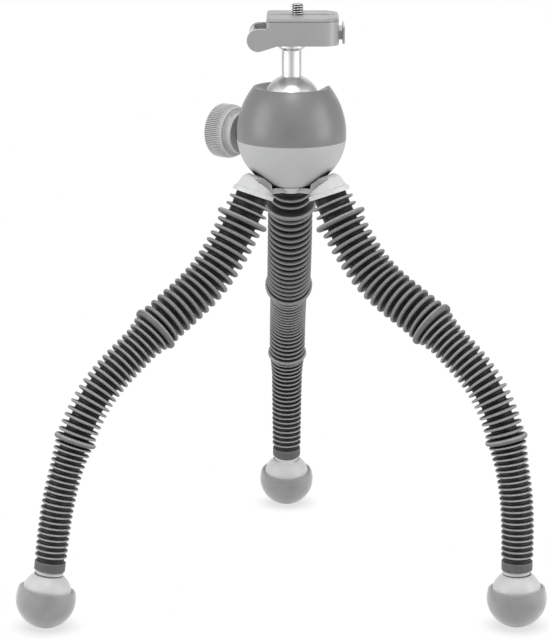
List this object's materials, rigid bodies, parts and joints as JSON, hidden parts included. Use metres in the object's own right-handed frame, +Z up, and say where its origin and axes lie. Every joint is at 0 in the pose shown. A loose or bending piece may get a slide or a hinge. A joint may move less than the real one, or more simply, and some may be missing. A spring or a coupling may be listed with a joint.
{
  "type": "flexible leg tripod",
  "caption": "Small camera tripod with bendable ribbed legs on rubber ball feet, a ball head with a locking knob and a quick-release clamp with a camera screw.",
  "frame": {"origin": "on the ground, under the head's vertical axis", "axes": "+Z up along the head's axis and the camera screw, +Y towards the back leg, +X towards the right leg and the release button"},
  "size_m": [0.2798, 0.253, 0.3206],
  "materials": {
    "steel": "satin",
    "chrome": "polished",
    "brass": "satin",
    "liner": "matte",
    "dome_grey": "satin",
    "bowl_grey": "satin",
    "hub_grey": "satin",
    "knob_grey": "satin",
    "collar_grey": "satin",
    "clamp_grey": "satin",
    "sleeve": "matte",
    "foot_rubber": "matte",
    "core": "satin"
  },
  "bodies": {
    "base": {"hub": "hub_grey", "hub_bolt": "steel", "hub_washer": "steel", "bowl": "bowl_grey", "dome": "dome_grey", "housing_screws": "steel", "knob_bushing": "brass"},
    "knob": {"knob_grip": "knob_grey", "knob_collar": "collar_grey", "knob_screw": "steel"},
    "pressure_block": {"pressure_block": "steel"},
    "liner": {"ball_liner": "liner"},
    "ball": {"ball_stem": "chrome", "stem_bolt": "steel"},
    "clamp": {"clamp_body": "clamp_grey", "lever_pin": "steel", "button_spring": "steel"},
    "plate": {"quick_plate": "clamp_grey"},
    "screw": {"camera_screw": "steel"},
    "lever": {"clamp_lever": "clamp_grey"},
    "button": {"release_button": "clamp_grey"},
    "back_1": {"back_link_1": "core", "back_sleeve_1": "sleeve"},
    "back_2": {"back_link_2": "core", "back_sleeve_2": "sleeve"},
    "back_3": {"back_link_3": "core", "back_sleeve_3": "sleeve"},
    "back_4": {"back_link_4": "core", "back_sleeve_4": "sleeve"},
    "back_5": {"back_link_5": "core", "back_sleeve_5": "sleeve", "back_foot_cap": "hub_grey", "back_foot_pad": "foot_rubber"},
    "left_1": {"left_link_1": "core", "left_sleeve_1": "sleeve"},
    "left_2": {"left_link_2": "core", "left_sleeve_2": "sleeve"},
    "left_3": {"left_link_3": "core", "left_sleeve_3": "sleeve"},
    "left_4": {"left_link_4": "core", "left_sleeve_4": "sleeve"},
    "left_5": {"left_link_5": "core", "left_sleeve_5": "sleeve", "left_foot_cap": "hub_grey", "left_foot_pad": "foot_rubber"},
    "right_1": {"right_link_1": "core", "right_sleeve_1": "sleeve"},
    "right_2": {"right_link_2": "core", "right_sleeve_2": "sleeve"},
    "right_3": {"right_link_3": "core", "right_sleeve_3": "sleeve"},
    "right_4": {"right_link_4": "core", "right_sleeve_4": "sleeve"},
    "right_5": {"right_link_5": "core", "right_sleeve_5": "sleeve", "right_foot_cap": "hub_grey", "right_foot_pad": "foot_rubber"}
  },
  "joints": [
    {"name": "block_lift", "type": "slide", "parent": "base", "child": "pressure_block", "axis": [0, 0, 1], "range_m": [-0.0003, 0]},
    {"name": "knob_turn", "type": "hinge", "parent": "base", "child": "knob", "pos_m": [-0.02176, 0.01762, 0.24799], "axis": [-0.7771, 0.6293, 0], "range_deg": [0, 270]},
    {"name": "ball_side_tilt", "type": "hinge", "parent": "base", "child": "liner", "pos_m": [0, 0, 0.26749], "axis": [0.8192, 0.5736, 0], "range_deg": [-28, 28]},
    {"name": "ball_tilt", "type": "hinge", "parent": "liner", "child": "ball", "pos_m": [0, 0, 0.26749], "axis": [-0.5736, 0.8192, 0], "range_deg": [-28, 90]},
    {"name": "clamp_turn", "type": "hinge", "parent": "ball", "child": "clamp", "pos_m": [0, 0, 0.30029], "axis": [0, 0, 1], "continuous": true},
    {"name": "plate_slide", "type": "slide", "parent": "clamp", "child": "plate", "axis": [0, 1, 0], "range_m": [0, 0.03]},
    {"name": "screw_turn", "type": "hinge", "parent": "plate", "child": "screw", "pos_m": [0.0031, 0, 0.31469], "axis": [0, 0, 1], "continuous": true},
    {"name": "lever_swing", "type": "hinge", "parent": "clamp", "child": "lever", "pos_m": [-0.0175, 0, 0.30329], "axis": [0, -1, 0], "range_deg": [0, 70]},
    {"name": "button_press", "type": "slide", "parent": "clamp", "child": "button", "axis": [-1, 0, 0], "range_m": [0, 0.0012], "stiffness_N_per_m": 900, "springref_m": -0.0005, "deforming": ["button_spring"]},
    {"name": "back_bend_1", "type": "hinge", "parent": "base", "child": "back_1", "pos_m": [-0.00042, 0.0238, 0.21949], "axis": [0.9998, 0.0175, 0], "range_deg": [-15, 28], "deforming": ["back_sleeve_1"]},
    {"name": "back_swing_2", "type": "hinge", "parent": "back_1", "child": "back_2", "pos_m": [-0.00086, 0.04926, 0.18028], "axis": [-0.0146, 0.8385, 0.5446], "range_deg": [-35, 35], "deforming": ["back_sleeve_2"]},
    {"name": "back_bend_3", "type": "hinge", "parent": "back_2", "child": "back_3", "pos_m": [-0.00146, 0.08358, 0.14713], "axis": [0.9998, 0.0175, 0], "range_deg": [-15, 35], "deforming": ["back_sleeve_3"]},
    {"name": "back_swing_4", "type": "hinge", "parent": "back_3", "child": "back_4", "pos_m": [-0.00204, 0.11686, 0.11866], "axis": [-0.0113, 0.65, 0.7598], "range_deg": [-35, 35], "deforming": ["back_sleeve_4"]},
    {"name": "back_bend_5", "type": "hinge", "parent": "back_4", "child": "back_5", "pos_m": [-0.00243, 0.13897, 0.07706], "axis": [0.9998, 0.0175, 0], "range_deg": [-25, 40], "deforming": ["back_sleeve_5"]},
    {"name": "left_bend_1", "type": "hinge", "parent": "base", "child": "left_1", "pos_m": [-0.02082, -0.01154, 0.21949], "axis": [-0.4848, 0.8746, 0], "range_deg": [-15, 28], "deforming": ["left_sleeve_1"]},
    {"name": "left_swing_2", "type": "hinge", "parent": "left_1", "child": "left_2", "pos_m": [-0.04249, -0.02355, 0.17985], "axis": [-0.7417, -0.4111, 0.5299], "range_deg": [-35, 35], "deforming": ["left_sleeve_2"]},
    {"name": "left_bend_3", "type": "hinge", "parent": "left_2", "child": "left_3", "pos_m": [-0.07515, -0.04166, 0.15014], "axis": [-0.4848, 0.8746, 0], "range_deg": [-15, 35], "deforming": ["left_sleeve_3"]},
    {"name": "left_swing_4", "type": "hinge", "parent": "left_3", "child": "left_4", "pos_m": [-0.10317, -0.05719, 0.12027], "axis": [-0.5965, -0.3306, 0.7314], "range_deg": [-35, 35], "deforming": ["left_sleeve_4"]},
    {"name": "left_bend_5", "type": "hinge", "parent": "left_4", "child": "left_5", "pos_m": [-0.1196, -0.0663, 0.07706], "axis": [-0.4848, 0.8746, 0], "range_deg": [-25, 40], "deforming": ["left_sleeve_5"]},
    {"name": "right_bend_1", "type": "hinge", "parent": "base", "child": "right_1", "pos_m": [0.02061, -0.0119, 0.21949], "axis": [-0.5, -0.866, 0], "range_deg": [-15, 28], "deforming": ["right_sleeve_1"]},
    {"name": "right_swing_2", "type": "hinge", "parent": "right_1", "child": "right_2", "pos_m": [0.04325, -0.02497, 0.18073], "axis": [0.718, -0.4145, 0.5592], "range_deg": [-35, 35], "deforming": ["right_sleeve_2"]},
    {"name": "right_bend_3", "type": "hinge", "parent": "right_2", "child": "right_3", "pos_m": [0.07731, -0.04464, 0.1537], "axis": [-0.5, -0.866, 0], "range_deg": [-15, 35], "deforming": ["right_sleeve_3"]},
    {"name": "right_swing_4", "type": "hinge", "parent": "right_3", "child": "right_4", "pos_m": [0.10416, -0.06014, 0.12276], "axis": [0.6118, -0.3532, 0.7077], "range_deg": [-35, 35], "deforming": ["right_sleeve_4"]},
    {"name": "right_bend_5", "type": "hinge", "parent": "right_4", "child": "right_5", "pos_m": [0.11677, -0.06742, 0.07795], "axis": [-0.5, -0.866, 0], "range_deg": [-25, 40], "deforming": ["right_sleeve_5"]}
  ],
  "couplings": [
    {"joint": "knob_turn", "follows": "block_lift", "rad_per_m": -15708}
  ]
}
